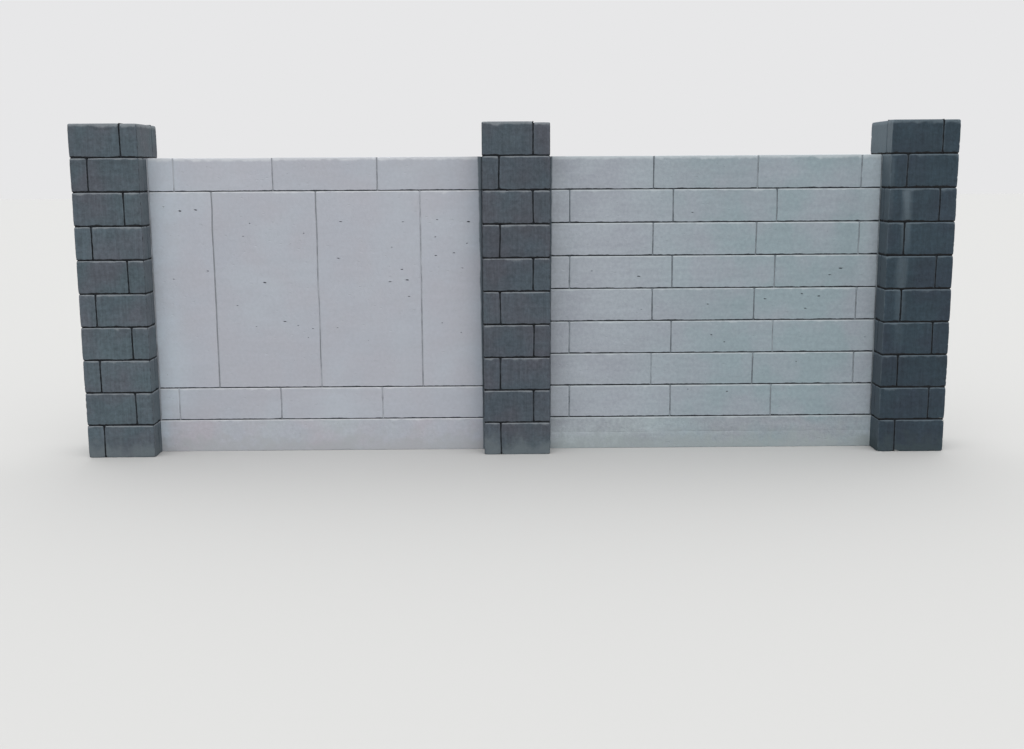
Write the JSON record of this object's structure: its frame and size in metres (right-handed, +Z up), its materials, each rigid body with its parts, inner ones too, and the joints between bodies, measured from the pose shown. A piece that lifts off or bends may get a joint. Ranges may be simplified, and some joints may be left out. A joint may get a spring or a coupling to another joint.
{
  "type": "painted block garden wall",
  "caption": "Free-standing garden wall of painted aerated concrete blocks: charcoal piers in a pinwheel bond with pale grey wall bays set back between them on a cast plinth.",
  "frame": {"origin": "on the ground under the centre of the middle pier", "axes": "+X along the wall to the right, as seen from its front; +Y through the wall to its back; +Z up"},
  "size_m": [5.228, 0.404, 1.999],
  "materials": {
    "pier_paint": "charcoal masonry paint on aerated concrete, matt and weathered",
    "wall_paint": "pale blue-grey masonry paint on aerated concrete, matt, with open pores",
    "plinth_paint": "pale blue-grey masonry paint on board-cast concrete, matt and splashed",
    "core_concrete": "bare poured concrete, struck off at the top",
    "mortar": "thin-bed mortar, recessed and painted over"
  },
  "bodies": {
    "root": {"left_pier_course_01": "pier_paint", "left_pier_course_02": "pier_paint", "left_pier_course_03": "pier_paint", "left_pier_course_04": "pier_paint", "left_pier_course_05": "pier_paint", "left_pier_course_06": "pier_paint", "left_pier_course_07": "pier_paint", "left_pier_course_08": "pier_paint", "left_pier_course_09": "pier_paint", "left_pier_course_10": "pier_paint", "left_wall_course_02": "wall_paint", "left_wall_slabs": "wall_paint", "left_wall_top_course": "wall_paint", "middle_pier_course_01": "pier_paint", "middle_pier_course_02": "pier_paint", "middle_pier_course_03": "pier_paint", "middle_pier_course_04": "pier_paint", "middle_pier_course_05": "pier_paint", "middle_pier_course_06": "pier_paint", "middle_pier_course_07": "pier_paint", "middle_pier_course_08": "pier_paint", "middle_pier_course_09": "pier_paint", "middle_pier_course_10": "pier_paint", "pier_cores": "core_concrete", "plinths": "plinth_paint", "right_pier_course_01": "pier_paint", "right_pier_course_02": "pier_paint", "right_pier_course_03": "pier_paint", "right_pier_course_04": "pier_paint", "right_pier_course_05": "pier_paint", "right_pier_course_06": "pier_paint", "right_pier_course_07": "pier_paint", "right_pier_course_08": "pier_paint", "right_pier_course_09": "pier_paint", "right_pier_course_10": "pier_paint", "right_wall_course_02": "wall_paint", "right_wall_course_03": "wall_paint", "right_wall_course_04": "wall_paint", "right_wall_course_05": "wall_paint", "right_wall_course_06": "wall_paint", "right_wall_course_07": "wall_paint", "right_wall_course_08": "wall_paint", "right_wall_course_09": "wall_paint", "wall_mortar": "mortar"}
  },
  "joints": []
}
